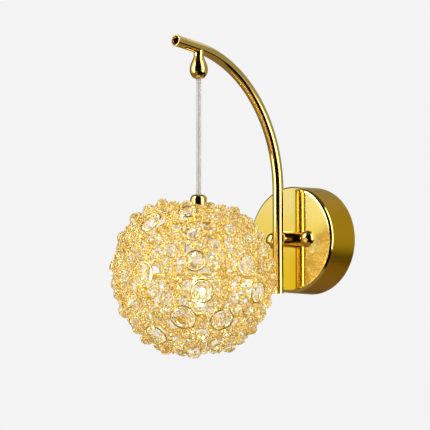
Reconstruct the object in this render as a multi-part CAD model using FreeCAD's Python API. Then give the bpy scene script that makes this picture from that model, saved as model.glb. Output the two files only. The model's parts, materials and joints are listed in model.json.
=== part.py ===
"""Crystal wall sconce: a round gilt canopy, a bent arm, and a ball of strung crystals on a clear cord.

Millimetres. X runs along the wall, Z is up, and the wall is the plane Y = 0. "Out" is the distance from
the wall, so a point is (x, -out, z). The origin is the middle of the canopy's back, on the wall.
"""
import FreeCAD, Part
import math
import os

# ---------------------------------------------------------------- driving sizes
# Fits shared by all pieces.
thread_clearance = 0.05
braze_gap = 0.05
loose_gap = 0.3
hole_clearance = 0.2

# Canopy, the round cup on the wall.
canopy_radius = 50.0
canopy_draft = 0.9
canopy_depth = 33.2
canopy_sheet = 1.2
canopy_edge_round = 3.4

# Bracket that is screwed to the wall inside the canopy.
bracket_sheet = 1.5
bracket_width = 18.0
bracket_standoff = 8.0
bracket_half_span = 44.0
bracket_half_bridge = 28.0
wall_screw_spacing = 72.0
wall_slot_width = 4.5
wall_slot_length = 9.0
tab_margin = 2.0

# Two studs that carry the canopy, with a domed nut on each.
stud_spacing = 41.0
stud_radius = 2.0
stud_head_radius = 3.8
stud_head_height = 2.4
stud_grip = 4.0
lock_nut_flats = 7.0
lock_nut_height = 3.2
dome_radius = 8.2
dome_height = 5.6

# Post between the canopy and the arm, held by a threaded hollow nipple.
post_radius = 7.5
post_cope = 4.5
post_edge_round = 0.7
nipple_radius = 5.0
nipple_bore_radius = 3.6
nipple_grip = 7.5
nipple_tail = 2.5
nipple_washer_radius = 9.0
nipple_washer_height = 1.0
nipple_nut_flats = 14.0
nipple_nut_height = 3.5
thread_past_nut = 1.0

# Bent arm: straight up, then a long bend outward, then a short straight end.
arm_radius = 5.0
arm_wall = 1.0
arm_standoff = 16.25
arm_bend_start = 44.7
arm_bend_radius = 117.0
arm_bend_angle = 85.0
arm_tip_run = 28.0
end_bush_length = 8.5
end_bush_bore_radius = 3.4
end_bush_mouth_radius = 3.95
end_bush_spigot = 6.0
end_bush_round = 0.5
foot_plug_height = 4.0

# Cord gland under the arm: a short collar on the tube and a drop-shaped grip screwed to it.
gland_behind_tip = 29.15
gland_length = 19.5
gland_mouth_radius = 3.65
gland_lip = 0.45
gland_belly_radius = 6.3
gland_belly_height = 2.2
gland_widest_radius = 7.85
gland_widest_height = 6.3
gland_shoulder_radius = 6.9
gland_shoulder_height = 12.8
gland_waist_radius = 5.4
gland_waist_height = 16.4
gland_neck_radius = 4.3
gland_collar_height = 2.1
gland_root_radius = 4.6
gland_spigot_radius = 3.5
gland_spigot_length = 5.0
cord_bore_radius = 2.6
cord_stop_radius = 3.4
cord_stop_pocket_radius = 2.2
cord_stop_below = 1.2
cord_stop_flare = 0.42
pivot_above_mouth = 2.4

# Clear two-core cord and its cores.
cord_radius = 2.1
cord_drop = 101.0
core_radius = 0.9
core_spacing = 2.1
arm_cord_turn = 5.0
post_cord_turn = 6.0
canopy_cord_turn = 8.0
sheath_end = 10.0
core_straight_run = 2.4
core_entry = 1.5
core_bite = 5.0

# Terminal block and earth inside the canopy.
terminal_top = 18.0
terminal_width = 21.0
terminal_height = 14.0
terminal_depth = 14.0
terminal_pitch = 9.0
terminal_sleeve_radius = 2.6
terminal_sleeve_bore = 1.5
terminal_sleeve_length = 10.0
terminal_screw_radius = 1.4
terminal_screw_spacing = 5.6
clamp_screw_sunk = 1.0
screw_point = 1.5
block_screw_radius = 1.5
block_screw_head_radius = 2.75
block_screw_head_height = 1.8
earth_tag_sheet = 0.8
earth_tag_ring = 3.0
earth_tag_reach = 16.0
earth_tail_width = 4.0
earth_screw_offset = 8.0
earth_screw_height = 3.0
earth_lead_radius = 1.1
earth_lead_rise = 11.0

# Pendant cap and the nipple that joins cap, ball and lampholder.
cap_radius = 7.35
cap_height = 13.0
cap_crown = 4.0
cap_flat_radius = 2.8
anchor_height = 4.3
lead_straight_top = 0.8
lead_straight_foot = 1.6
pendant_nipple_bore_radius = 3.7
neck_radius = 6.2
hub_radius = 9.0
hub_sheet = 1.5
holder_nut_height = 2.5

# Ball of crystals: a sphere with a flattened crown round the cap, a little fuller on one side,
# and swollen over that side's shoulder.
ball_radius = 71.0
crown_height = 62.7
crown_rise = 5.0
shoulder_radius = 30.0
crystal_radius = 5.8
crystal_variation = 0.5
crystal_positions = 124
crystal_stray = 8.0
neighbour_reach = 1.9
net_flatness = 0.9
fuller_side_depth = 4.2
fuller_side_growth = 0.8
fuller_side_bearing = 223.0
swell_depth = 4.5
swell_polar = 52.0
swell_spread = 62.0
mouth_radius = 16.0
mouth_rim_drop = 5.0
crystal_spare = 0.4
frame_wire_radius = 1.2
frame_ribs = 8
frame_hoop_angles = (45.0, 90.0, 130.0)
mouth_ring_wire_radius = 1.5
link_wire_radius = 0.4
tie_reach = 9.0
tie_shortest = 0.5
bead_radius = 3.1
bead_smallest = 1.5
bead_hole_radius = 0.65
bead_gap = 0.15
bead_pitch = 6.8
filler_sight = 20.0
filler_heights = (0.0, 0.8, 1.6, 2.4, 3.1)
filler_loosest = 0.5
filler_weights = ((1 / 3, 1 / 3, 1 / 3), (0.54, 0.23, 0.23), (0.1, 0.45, 0.45))

# Rosettes: wide cut crystals, each held in a wire ring. Each is given by its angle down from the
# top of the ball, its bearing and its radius, and has a twin on the opposite side of the ball.
rosettes = ((121.0, 301.0, 9.8), (102.0, 316.0, 8.8), (81.0, 311.0, 7.6), (90.0, 273.0, 9.4),
            (135.0, 268.0, 9.0), (124.0, 334.0, 8.8), (83.0, 352.0, 8.8), (103.0, 6.0, 8.0),
            (52.0, 268.0, 9.0), (39.0, 301.0, 7.0))
rosette_depth = 1.0
rosette_crown = 2.6
rosette_girdle = 1.2
rosette_slope_run = 4.0
rosette_wire_radius = 0.6

# Two-pin lampholder and its lamp.
holder_width = 20.0
holder_depth = 14.0
holder_height = 20.0
holder_gap = 6.6
holder_corner_round = 2.0
stirrup_sheet = 1.0
stirrup_leg = 21.0
stirrup_depth = 13.0
holder_screw_radius = 1.4
holder_screw_head_radius = 2.7
holder_screw_head_height = 1.7
holder_screw_bite = 3.0
holder_screw_drop = 6.0
pin_spacing = 9.0
pin_length = 14.0
pin_thickness = 0.9
pin_width = 3.4
contact_leaf = 0.4
contact_length = 12.3
contact_past_pin = 0.6
holder_floor = 2.0
lamp_radius = 8.0
lamp_base_height = 11.5
lamp_length = 45.0
lamp_glass = 0.8
lamp_shoulder_round = 1.5
led_core_radius = 4.5
led_core_bore = 0.8
led_core_margin = 8.0
led_rows = 4
led_chip_size = 2.8
led_chip_height = 0.7

# ---------------------------------------------------------------- sizes that follow
face_out = canopy_depth
face_inside = canopy_depth - canopy_sheet
bridge_front = bracket_standoff + bracket_sheet
arm_out = canopy_depth + arm_standoff
arm_bottom = -canopy_radius
arm_centre_out = arm_out + arm_bend_radius
bend_end_out = arm_centre_out - arm_bend_radius * math.cos(math.radians(arm_bend_angle))
arm_tip_out = bend_end_out + arm_tip_run * math.sin(math.radians(arm_bend_angle))
gland_out = arm_tip_out - gland_behind_tip
nipple_inner_end = (face_inside - nipple_washer_height - earth_tag_sheet
                    - nipple_nut_height - nipple_tail)
nipple_outer_end = face_out + nipple_grip
gland_rise = math.sqrt(arm_bend_radius ** 2 - (arm_centre_out - gland_out) ** 2)
arm_over_gland = arm_bend_start + gland_rise
gland_collar_bottom = arm_over_gland - arm_radius - gland_collar_height
gland_bottom = gland_collar_bottom - gland_length
pivot_height = gland_bottom + pivot_above_mouth
cap_top = gland_bottom - cord_drop
cap_bottom = cap_top - cap_height
ball_centre = cap_bottom + crown_rise - crown_height
flank_reach = ball_radius - shoulder_radius
shoulder_polar = math.degrees(math.acos((crown_height - shoulder_radius) / flank_reach))
thickest_crystal = 2 * (crystal_radius + crystal_variation - fuller_side_growth)
frame_depth = fuller_side_depth + thickest_crystal + loose_gap
rib_depth = frame_depth + frame_wire_radius
hoop_depth = rib_depth + 2 * frame_wire_radius + thread_clearance
hub_top = ball_centre + crown_height - frame_depth
hub_bottom = hub_top - hub_sheet
stirrup_top = hub_bottom - nipple_nut_height
stirrup_bottom = stirrup_top - stirrup_sheet
pendant_nipple_bottom = stirrup_bottom - holder_nut_height - thread_past_nut
anchor_top = cap_top - cap_crown
anchor_bottom = anchor_top - anchor_height
holder_top = pendant_nipple_bottom - holder_gap
holder_bottom = holder_top - holder_height
lamp_top = holder_bottom - loose_gap
lamp_bottom = lamp_top - lamp_length
core_out = nipple_inner_end - canopy_cord_turn
terminal_bottom = -terminal_top - terminal_height
terminal_front = bridge_front + terminal_depth


def at(x, out, z):
    """The point x along the wall, `out` from the wall and z above the middle of the canopy."""
    return FreeCAD.Vector(x, -out, z)


OUTWARD = FreeCAD.Vector(0, -1, 0)
UPWARD = FreeCAD.Vector(0, 0, 1)
SIDEWAYS = FreeCAD.Vector(1, 0, 0)


# ---------------------------------------------------------------- building blocks
def outward_cylinder(radius, start_out, end_out, x=0.0, z=0.0):
    return Part.makeCylinder(radius, end_out - start_out, at(x, start_out, z), OUTWARD)


def upright_cylinder(radius, bottom, top, x=0.0, out=gland_out):
    return Part.makeCylinder(radius, top - bottom, at(x, out, bottom), UPWARD)


def block(x_range, out_range, z_range):
    """A box given by its two limits in x, out and z."""
    size_x, size_out, size_z = (high - low for low, high in (x_range, out_range, z_range))
    return Part.makeBox(size_x, size_out, size_z, at(x_range[0], out_range[1], z_range[0]))


def hexagon(flats, height, bore_radius, base, direction):
    """A hex nut with its base centred on `base`."""
    corner = flats / math.sqrt(3)
    corners = [FreeCAD.Vector(corner * math.cos(math.radians(60 * i)),
                              corner * math.sin(math.radians(60 * i)), 0) for i in range(7)]
    nut = Part.Face(Part.makePolygon(corners)).extrude(UPWARD * height)
    nut = nut.cut(Part.makeCylinder(bore_radius, height))
    nut.Placement = FreeCAD.Placement(base, FreeCAD.Rotation(UPWARD, direction))
    return nut


def turned(outline_edges, axis_point, axis_direction=UPWARD):
    """A solid turned from a closed outline."""
    face = Part.Face(Part.Wire(outline_edges))
    return face.revolve(axis_point, axis_direction, 360)


def straight(a, b):
    return Part.LineSegment(a, b).toShape()


def curved(a, middle, b):
    return Part.Arc(a, middle, b).toShape()


def swept_rod(radius, path):
    """A round rod along a path of straight runs and tangent arcs."""
    start = path.Edges[0]
    tangent = start.tangentAt(start.FirstParameter)
    section = Part.Wire(Part.Circle(start.valueAt(start.FirstParameter), tangent, radius).toShape())
    return path.makePipeShell([section], True, False)


def rounded_path(points, share=0.45):
    """Straight runs through the points, each corner an arc as large as its two runs allow."""
    edges = []
    radii = []
    last = points[0]
    for before, corner, after in zip(points, points[1:], points[2:]):
        into = (corner - before).normalize()
        onward = (after - corner).normalize()
        half_turn = into.getAngle(onward) / 2
        reach = share * min((corner - before).Length, (after - corner).Length)
        radius = reach / math.tan(half_turn)
        first = corner - into * reach
        end = corner + onward * reach
        inward = (onward - into).normalize()
        middle = corner + inward * (radius / math.cos(half_turn) - radius)
        edges.append(straight(last, first))
        edges.append(curved(first, middle, end))
        radii.append(radius)
        last = end
    edges.append(straight(last, points[-1]))
    return Part.Wire(edges), radii


def lead(name, radius, points):
    """A wire of plain round section; its bend radii and its volume are printed as a test."""
    path, radii = rounded_path(points)
    rod = swept_rod(radius, path)
    wanted = math.pi * radius ** 2 * path.Length
    print(name, "length %.1f" % path.Length, "radii", ["%.1f" % r for r in radii],
          "volume/wanted %.4f" % (rod.Volume / wanted))
    return rod


# ---------------------------------------------------------------- canopy and bracket
def canopy():
    """The cup: drafted side, rounded front edge, open back, holes for the nipple and two studs."""
    def cup(radius, depth, edge_round):
        cone = Part.makeCone(radius, radius - canopy_draft, depth, at(0, 0, 0), OUTWARD)
        front_edge = [edge for edge in cone.Edges if edge.BoundBox.YMax < -depth + 0.01]
        return cone.makeFillet(edge_round, front_edge)

    shell = cup(canopy_radius, canopy_depth, canopy_edge_round)
    shell = shell.cut(cup(canopy_radius - canopy_sheet, face_inside, canopy_edge_round - canopy_sheet))
    shell = shell.cut(outward_cylinder(nipple_radius + hole_clearance, 0, canopy_depth))
    for x in stud_places():
        shell = shell.cut(outward_cylinder(stud_radius + hole_clearance, 0, canopy_depth, x))
    return shell


def stud_places():
    return (-stud_spacing / 2, stud_spacing / 2)


def wall_bracket():
    """A bridge with two slotted feet, and a tab below that carries the terminal block."""
    inner = bracket_half_bridge - bracket_sheet
    half = [(bracket_half_span, 0), (bracket_half_span, bracket_sheet),
            (bracket_half_bridge, bracket_sheet), (bracket_half_bridge, bridge_front)]
    hollow = [(inner, bracket_standoff), (inner, 0)]
    outline = half + [(-x, out) for x, out in reversed(half)]
    outline += [(-x, out) for x, out in reversed(hollow)] + hollow
    corners = [at(x, out, -bracket_width / 2) for x, out in outline + outline[:1]]
    bridge = Part.Face(Part.makePolygon(corners)).extrude(UPWARD * bracket_width)
    tab = block((-terminal_width / 2, terminal_width / 2), (bracket_standoff, bridge_front),
                (terminal_bottom - tab_margin, tab_margin - bracket_width / 2))
    bridge = bridge.fuse(tab).removeSplitter()
    for side in (-1, 1):
        bridge = bridge.cut(wall_slot(side * wall_screw_spacing / 2))
    for x in stud_places():
        bridge = bridge.cut(outward_cylinder(stud_radius + thread_clearance, 0, 2 * bridge_front, x))
    bridge = bridge.cut(outward_cylinder(block_screw_radius + thread_clearance, 0, 2 * bridge_front,
                                         0, block_screw_z()))
    bridge = bridge.cut(outward_cylinder(stud_radius + thread_clearance, 0, 2 * bridge_front,
                                         earth_screw_offset, earth_screw_height))
    return bridge


def wall_slot(x):
    """The slot for one wall screw, long side along the wall."""
    end = (wall_slot_length - wall_slot_width) / 2
    radius = wall_slot_width / 2
    slot = block((x - end, x + end), (-1, bracket_sheet + 1), (-radius, radius))
    for side in (-end, end):
        slot = slot.fuse(outward_cylinder(radius, -1, bracket_sheet + 1, x + side))
    return slot


def bracket_studs():
    """Two pan-head screws through the bracket from behind, long enough to take the domed nuts."""
    studs = []
    for x in stud_places():
        head = outward_cylinder(stud_head_radius, bracket_standoff - stud_head_height,
                                bracket_standoff, x)
        shank = outward_cylinder(stud_radius, bracket_standoff, face_out + stud_grip, x)
        studs.append(head.fuse(shank))
    return Part.makeCompound(studs)


def stud_lock_nuts():
    bore = stud_radius + thread_clearance
    return Part.makeCompound([hexagon(lock_nut_flats, lock_nut_height, bore,
                                      at(x, bridge_front, 0), OUTWARD) for x in stud_places()])


def dome_nuts():
    """Domed nuts: a ball cut flat where it sits on the canopy, with a blind thread."""
    nuts = []
    for x in stud_places():
        ball = Part.makeSphere(dome_radius, at(x, face_out + dome_height - dome_radius, 0))
        below = outward_cylinder(2 * dome_radius, face_out - 2 * dome_radius, face_out, x)
        thread = outward_cylinder(stud_radius + thread_clearance, face_out,
                                  face_out + stud_grip + loose_gap, x)
        nuts.append(ball.cut(below).cut(thread))
    return Part.makeCompound(nuts)


# ---------------------------------------------------------------- post and nipple
def post():
    """The stub between canopy and arm, coped round the tube, threaded for the nipple."""
    end_out = arm_out - arm_radius + post_cope
    stub = outward_cylinder(post_radius, face_out, end_out)
    end_edge = [edge for edge in stub.Edges if edge.BoundBox.YMax < -end_out + 0.01]
    stub = stub.makeFillet(post_edge_round, end_edge)
    stub = stub.cut(outward_cylinder(nipple_radius + thread_clearance, 0,
                                     nipple_outer_end + loose_gap))
    stub = stub.cut(outward_cylinder(nipple_bore_radius, 0, arm_out))
    return stub.cut(arm_rod(arm_radius + braze_gap))


def arm_nipple():
    tube = outward_cylinder(nipple_radius, nipple_inner_end, nipple_outer_end)
    return tube.cut(outward_cylinder(nipple_bore_radius, 0, arm_out))


def nipple_washer():
    washer = outward_cylinder(nipple_washer_radius, face_inside - nipple_washer_height, face_inside)
    return washer.cut(outward_cylinder(nipple_radius + hole_clearance, 0, face_out))


def nipple_nut():
    nut_out = face_inside - nipple_washer_height - earth_tag_sheet - nipple_nut_height
    return hexagon(nipple_nut_flats, nipple_nut_height, nipple_radius + thread_clearance,
                   at(0, nut_out, 0), OUTWARD)


# ---------------------------------------------------------------- arm
def arm_bend_end():
    """Where the bend stops, and the direction of the short straight end."""
    angle = math.radians(180 - arm_bend_angle)
    point = at(0, arm_centre_out + arm_bend_radius * math.cos(angle),
               arm_bend_start + arm_bend_radius * math.sin(angle))
    direction = FreeCAD.Vector(0, -math.sin(angle), -math.cos(angle))
    return point, direction


def arm_path(tip_run):
    """Centre line of the arm from its foot to the end of a straight run past the bend."""
    half_way = math.radians(180 - arm_bend_angle / 2)
    middle = at(0, arm_centre_out + arm_bend_radius * math.cos(half_way),
                arm_bend_start + arm_bend_radius * math.sin(half_way))
    bend_start = at(0, arm_out, arm_bend_start)
    bend_end, direction = arm_bend_end()
    return Part.Wire([straight(at(0, arm_out, arm_bottom), bend_start),
                      curved(bend_start, middle, bend_end),
                      straight(bend_end, bend_end + direction * tip_run)])


def arm_rod(radius):
    return swept_rod(radius, arm_path(arm_tip_run - end_bush_length))


def arm_tube():
    """The bent tube, with a side hole into the post and a hole down into the gland."""
    tube = arm_rod(arm_radius).cut(arm_rod(arm_radius - arm_wall))
    tube = tube.cut(outward_cylinder(nipple_bore_radius, face_out, arm_out))
    return tube.cut(upright_cylinder(cord_bore_radius, gland_bottom, arm_over_gland))


def arm_foot_plug():
    radius = arm_radius - arm_wall - thread_clearance
    return upright_cylinder(radius, arm_bottom, arm_bottom + foot_plug_height, out=arm_out)


def arm_end_bush():
    """Open bush at the arm's tip: a sleeve as wide as the tube, its ends rounded, with a spigot."""
    bend_end, direction = arm_bend_end()
    seam = bend_end + direction * (arm_tip_run - end_bush_length)
    spigot_radius = arm_radius - arm_wall - thread_clearance
    spigot = Part.makeCylinder(spigot_radius, end_bush_spigot, seam - direction * end_bush_spigot,
                               direction)
    sleeve = Part.makeCylinder(arm_radius, end_bush_length, seam, direction)
    rims = [edge for edge in sleeve.Edges if edge.Length > math.pi * arm_radius]
    sleeve = sleeve.makeFillet(end_bush_round, rims)
    bore = Part.makeCylinder(end_bush_bore_radius, end_bush_spigot + end_bush_round,
                             seam - direction * end_bush_spigot, direction)
    mouth = Part.makeCylinder(end_bush_mouth_radius, end_bush_length,
                              seam + direction * end_bush_round, direction)
    return sleeve.fuse(spigot).cut(bore).cut(mouth)


# ---------------------------------------------------------------- cord gland
def gland_collar():
    """Collar brazed under the tube and flared to it; its spigot takes the grip, its bore the cord."""
    root = gland_collar_bottom + gland_collar_height
    collar = Part.makeCone(gland_neck_radius, gland_root_radius, gland_collar_height,
                           at(0, gland_out, gland_collar_bottom), UPWARD)
    collar = collar.fuse(upright_cylinder(gland_root_radius, root, arm_over_gland))
    collar = collar.cut(arm_rod(arm_radius + braze_gap))
    spigot = upright_cylinder(gland_spigot_radius, gland_collar_bottom - gland_spigot_length,
                              gland_collar_bottom)
    bore = upright_cylinder(cord_bore_radius, gland_bottom, arm_over_gland)
    return collar.fuse(spigot).cut(bore)


def cord_gland():
    """Drop-shaped grip: the cord's stop turns in a round seat just above its flared mouth."""
    def outline(radius, height):
        return at(radius, gland_out, gland_bottom + height)

    lip_radius = gland_mouth_radius + gland_lip
    side = Part.BSplineCurve()
    side.interpolate([outline(lip_radius, 0), outline(gland_belly_radius, gland_belly_height),
                      outline(gland_widest_radius, gland_widest_height),
                      outline(gland_shoulder_radius, gland_shoulder_height),
                      outline(gland_waist_radius, gland_waist_height),
                      outline(gland_neck_radius, gland_length)])
    drop = turned([straight(outline(0, 0), outline(lip_radius, 0)), side.toShape(),
                   straight(outline(gland_neck_radius, gland_length), outline(0, gland_length)),
                   straight(outline(0, gland_length), outline(0, 0))], at(0, gland_out, 0))
    seat_radius = cord_stop_radius + thread_clearance
    seat_drop = cord_stop_below
    seat_opening = math.sqrt(seat_radius ** 2 - seat_drop ** 2)
    drop = drop.cut(upright_cylinder(gland_spigot_radius + thread_clearance, pivot_height,
                                     gland_collar_bottom))
    drop = drop.cut(Part.makeSphere(seat_radius, at(0, gland_out, pivot_height)))
    flare = Part.makeCone(gland_mouth_radius, seat_opening, pivot_above_mouth - seat_drop,
                          at(0, gland_out, gland_bottom), UPWARD)
    return drop.cut(flare)


def cord_stop():
    """Crimped round stop that hangs in the gland's seat; the cord's rounded end sits inside it."""
    centre = at(0, gland_out, pivot_height)
    ball = Part.makeSphere(cord_stop_radius, centre)
    ball = ball.cut(upright_cylinder(2 * cord_stop_radius, pivot_height - 2 * cord_stop_radius,
                                     pivot_height - cord_stop_below))
    ball = ball.cut(Part.makeSphere(cord_stop_pocket_radius, centre))
    mouth = Part.makeCone(cord_stop_pocket_radius + cord_stop_flare, cord_stop_pocket_radius,
                          cord_stop_below, at(0, gland_out, pivot_height - cord_stop_below), UPWARD)
    return ball.cut(mouth)


# ---------------------------------------------------------------- cord
def arm_cord():
    """The cord inside the arm: up from the gland, round the bend, down, through the post and
    the nipple, and down to the terminals."""
    fillet_out = gland_out - arm_cord_turn
    fillet_z = arm_bend_start + math.sqrt((arm_bend_radius - arm_cord_turn) ** 2
                                          - (arm_centre_out - fillet_out) ** 2)
    bend_angle = math.atan2(fillet_z - arm_bend_start, fillet_out - arm_centre_out)

    def on_bend(angle):
        return at(0, arm_centre_out + arm_bend_radius * math.cos(angle),
                  arm_bend_start + arm_bend_radius * math.sin(angle))

    def on_turn(centre_out, centre_z, radius, angle):
        return at(0, centre_out + radius * math.cos(angle), centre_z + radius * math.sin(angle))

    start = at(0, gland_out, pivot_height + cord_stop_radius + hole_clearance)
    top_turn = (fillet_out, fillet_z, arm_cord_turn)
    low_turn = (arm_out - post_cord_turn, post_cord_turn, post_cord_turn)
    last_turn = (nipple_inner_end, -canopy_cord_turn, canopy_cord_turn)
    quarter = math.pi / 2
    edges = [straight(start, on_turn(*top_turn, 0)),
             curved(on_turn(*top_turn, 0), on_turn(*top_turn, bend_angle / 2), on_bend(bend_angle)),
             curved(on_bend(bend_angle), on_bend((bend_angle + math.pi) / 2), on_bend(math.pi)),
             straight(on_bend(math.pi), on_turn(*low_turn, 0)),
             curved(on_turn(*low_turn, 0), on_turn(*low_turn, -quarter / 2),
                    on_turn(*low_turn, -quarter)),
             straight(on_turn(*low_turn, -quarter), on_turn(*last_turn, quarter)),
             curved(on_turn(*last_turn, quarter), on_turn(*last_turn, 1.5 * quarter),
                    on_turn(*last_turn, 2 * quarter)),
             straight(on_turn(*last_turn, 2 * quarter), at(0, core_out, -sheath_end))]
    path = Part.Wire(edges)
    rod = swept_rod(cord_radius, path)
    print("arm_cord length %.1f" % path.Length, "radii", arm_cord_turn, arm_bend_radius,
          post_cord_turn, canopy_cord_turn,
          "volume/wanted %.4f" % (rod.Volume / (math.pi * cord_radius ** 2 * path.Length)))
    return rod


def cord_cores():
    """The two bared cores, from the end of the sheath into the terminals."""
    cores = []
    for side in (-1, 1):
        narrow = side * core_spacing / 2
        wide = side * terminal_pitch / 2
        points = [at(narrow, core_out, -sheath_end),
                  at(narrow, core_out, -sheath_end - core_straight_run),
                  at(wide, core_out, -terminal_top + core_entry),
                  at(wide, core_out, -terminal_top - core_bite)]
        cores.append(lead("cord_cores", core_radius, points))
    return Part.makeCompound(cores)


def pendant_cord():
    """The hanging cord: one straight run from the gland's pivot to the anchor in the cap."""
    pivot = at(0, gland_out, pivot_height)
    run = upright_cylinder(cord_radius, anchor_top, pivot_height)
    cord = run.fuse(Part.makeSphere(cord_radius, pivot)).removeSplitter()
    print("pendant_cord length %.1f" % (pivot_height - anchor_top), "seen %.1f" % cord_drop)
    return cord


# ---------------------------------------------------------------- terminals and earth
def block_screw_z():
    return -terminal_top - terminal_height / 2


def terminal_places():
    return (-terminal_pitch / 2, terminal_pitch / 2)


def terminal_screw_heights():
    middle = block_screw_z()
    return (middle - terminal_screw_spacing / 2, middle + terminal_screw_spacing / 2)


def terminal_block():
    """Plastic block with two wire ways, their clamp screws' holes and one fixing hole."""
    body = block((-terminal_width / 2, terminal_width / 2), (bridge_front, terminal_front),
                 (terminal_bottom, -terminal_top))
    middle = block_screw_z()
    half_sleeve = terminal_sleeve_length / 2
    for x in terminal_places():
        body = body.cut(upright_cylinder(terminal_sleeve_bore + hole_clearance, terminal_bottom,
                                         -terminal_top, x, core_out))
        body = body.cut(upright_cylinder(terminal_sleeve_radius + thread_clearance,
                                         middle - half_sleeve, middle + half_sleeve, x, core_out))
        for z in terminal_screw_heights():
            body = body.cut(outward_cylinder(terminal_screw_radius + thread_clearance, core_out,
                                             terminal_front, x, z))
    body = body.cut(outward_cylinder(block_screw_radius + thread_clearance, 0, terminal_front,
                                     0, middle))
    head_room = terminal_front - block_screw_head_height
    return body.cut(outward_cylinder(block_screw_head_radius + hole_clearance, head_room,
                                     terminal_front, 0, middle))


def terminal_sleeves():
    middle = block_screw_z()
    half_sleeve = terminal_sleeve_length / 2
    sleeves = []
    for x in terminal_places():
        sleeve = upright_cylinder(terminal_sleeve_radius, middle - half_sleeve, middle + half_sleeve,
                                  x, core_out)
        sleeve = sleeve.cut(upright_cylinder(terminal_sleeve_bore, terminal_bottom, -terminal_top,
                                             x, core_out))
        for z in terminal_screw_heights():
            sleeve = sleeve.cut(outward_cylinder(terminal_screw_radius + thread_clearance, core_out,
                                                 terminal_front, x, z))
        sleeves.append(sleeve)
    return Part.makeCompound(sleeves)


def terminal_screws():
    """Four clamp screws; those over a core stop on it."""
    tip = core_out + core_radius + thread_clearance
    top = terminal_front - clamp_screw_sunk
    return Part.makeCompound([outward_cylinder(terminal_screw_radius, tip, top, x, z)
                              for x in terminal_places() for z in terminal_screw_heights()])


def block_screw():
    head_room = terminal_front - block_screw_head_height
    head = outward_cylinder(block_screw_head_radius, head_room, terminal_front, 0, block_screw_z())
    shank = outward_cylinder(block_screw_radius, bracket_standoff - screw_point, head_room, 0,
                             block_screw_z())
    return head.fuse(shank)


def earth_tag_out():
    return face_inside - nipple_washer_height - earth_tag_sheet


def earth_tag():
    """Ring tag under the nipple's nut, with an upright tail that grips the earth lead."""
    tag_out = earth_tag_out()
    ring_radius = nipple_radius + earth_tag_ring
    ring = outward_cylinder(ring_radius, tag_out, tag_out + earth_tag_sheet)
    tail = block((-earth_tail_width / 2, earth_tail_width / 2), (tag_out, tag_out + earth_tag_sheet),
                 (nipple_radius + earth_tag_ring / 2, earth_tag_reach))
    tag = ring.fuse(tail)
    return tag.cut(outward_cylinder(nipple_radius + thread_clearance, 0, face_out))


def earth_lead():
    """Lead from the tag's tail, up and back over to the earth screw on the bracket."""
    tag_centre = earth_tag_out() + earth_tag_sheet / 2
    screw_level = bridge_front + earth_lead_radius + hole_clearance
    top = earth_tag_reach + earth_lead_rise
    low_end = earth_screw_height + stud_head_radius + loose_gap
    return lead("earth_lead", earth_lead_radius,
                [at(0, tag_centre, earth_tag_reach), at(0, tag_centre, top),
                 at(earth_screw_offset, screw_level, top),
                 at(earth_screw_offset, screw_level, low_end)])


def earth_screw():
    head = outward_cylinder(stud_head_radius, bridge_front, bridge_front + stud_head_height,
                            earth_screw_offset, earth_screw_height)
    shank = outward_cylinder(stud_radius, bracket_standoff - screw_point, bridge_front,
                             earth_screw_offset, earth_screw_height)
    return head.fuse(shank)


# ---------------------------------------------------------------- pendant cap and hub
def pendant_cap():
    """Turned cap with a domed shoulder, drilled for the cord and threaded for the nipple."""
    def outline(radius, height):
        return at(radius, gland_out, height)

    shoulder_radius = cap_radius - cap_flat_radius
    shoulder_z = cap_top - shoulder_radius
    eighth = math.sqrt(0.5)
    bend = outline(cap_flat_radius + shoulder_radius * eighth, shoulder_z + shoulder_radius * eighth)
    cap = turned([straight(outline(0, cap_bottom), outline(cap_radius, cap_bottom)),
                  straight(outline(cap_radius, cap_bottom), outline(cap_radius, shoulder_z)),
                  curved(outline(cap_radius, shoulder_z), bend, outline(cap_flat_radius, cap_top)),
                  straight(outline(cap_flat_radius, cap_top), outline(0, cap_top)),
                  straight(outline(0, cap_top), outline(0, cap_bottom))], at(0, gland_out, 0))
    cap = cap.cut(upright_cylinder(nipple_radius + thread_clearance, cap_bottom, anchor_top))
    return cap.cut(upright_cylinder(cord_radius + hole_clearance, anchor_top, cap_top))


def cord_anchor():
    """Plug clamped between the cap's shoulder and the nipple, with the two cores drawn through."""
    plug = upright_cylinder(nipple_radius - hole_clearance, anchor_bottom, anchor_top)
    for side in (-1, 1):
        plug = plug.cut(upright_cylinder(core_radius + thread_clearance, anchor_bottom,
                                         anchor_top, side * core_spacing / 2))
    return plug


def pendant_nipple():
    tube = upright_cylinder(nipple_radius, pendant_nipple_bottom, anchor_bottom)
    return tube.cut(upright_cylinder(pendant_nipple_bore_radius, pendant_nipple_bottom, anchor_bottom))


def neck_spacer():
    sleeve = upright_cylinder(neck_radius, hub_top, cap_bottom)
    return sleeve.cut(upright_cylinder(nipple_radius + thread_clearance, hub_top, cap_bottom))


def frame_hub():
    disc = upright_cylinder(hub_radius, hub_bottom, hub_top)
    return disc.cut(upright_cylinder(nipple_radius + thread_clearance, hub_bottom, hub_top))


def hub_nut():
    return hexagon(nipple_nut_flats, nipple_nut_height, nipple_radius + thread_clearance,
                   at(0, gland_out, stirrup_top), UPWARD)


def holder_nut():
    return hexagon(nipple_nut_flats, holder_nut_height, nipple_radius + thread_clearance,
                   at(0, gland_out, stirrup_bottom - holder_nut_height), UPWARD)


def pendant_leads():
    """Two insulated cores from the anchor through the nipple to the lampholder's contacts."""
    leads = []
    for side in (-1, 1):
        narrow = side * core_spacing / 2
        wide = side * pin_spacing / 2
        spread_top = pendant_nipple_bottom - lead_straight_top
        spread_end = holder_top + lead_straight_foot
        points = [at(narrow, gland_out, anchor_top), at(narrow, gland_out, spread_top),
                  at(wide, gland_out, spread_end), at(wide, gland_out, contact_top())]
        leads.append(lead("pendant_leads", core_radius, points))
    return Part.makeCompound(leads)


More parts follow.
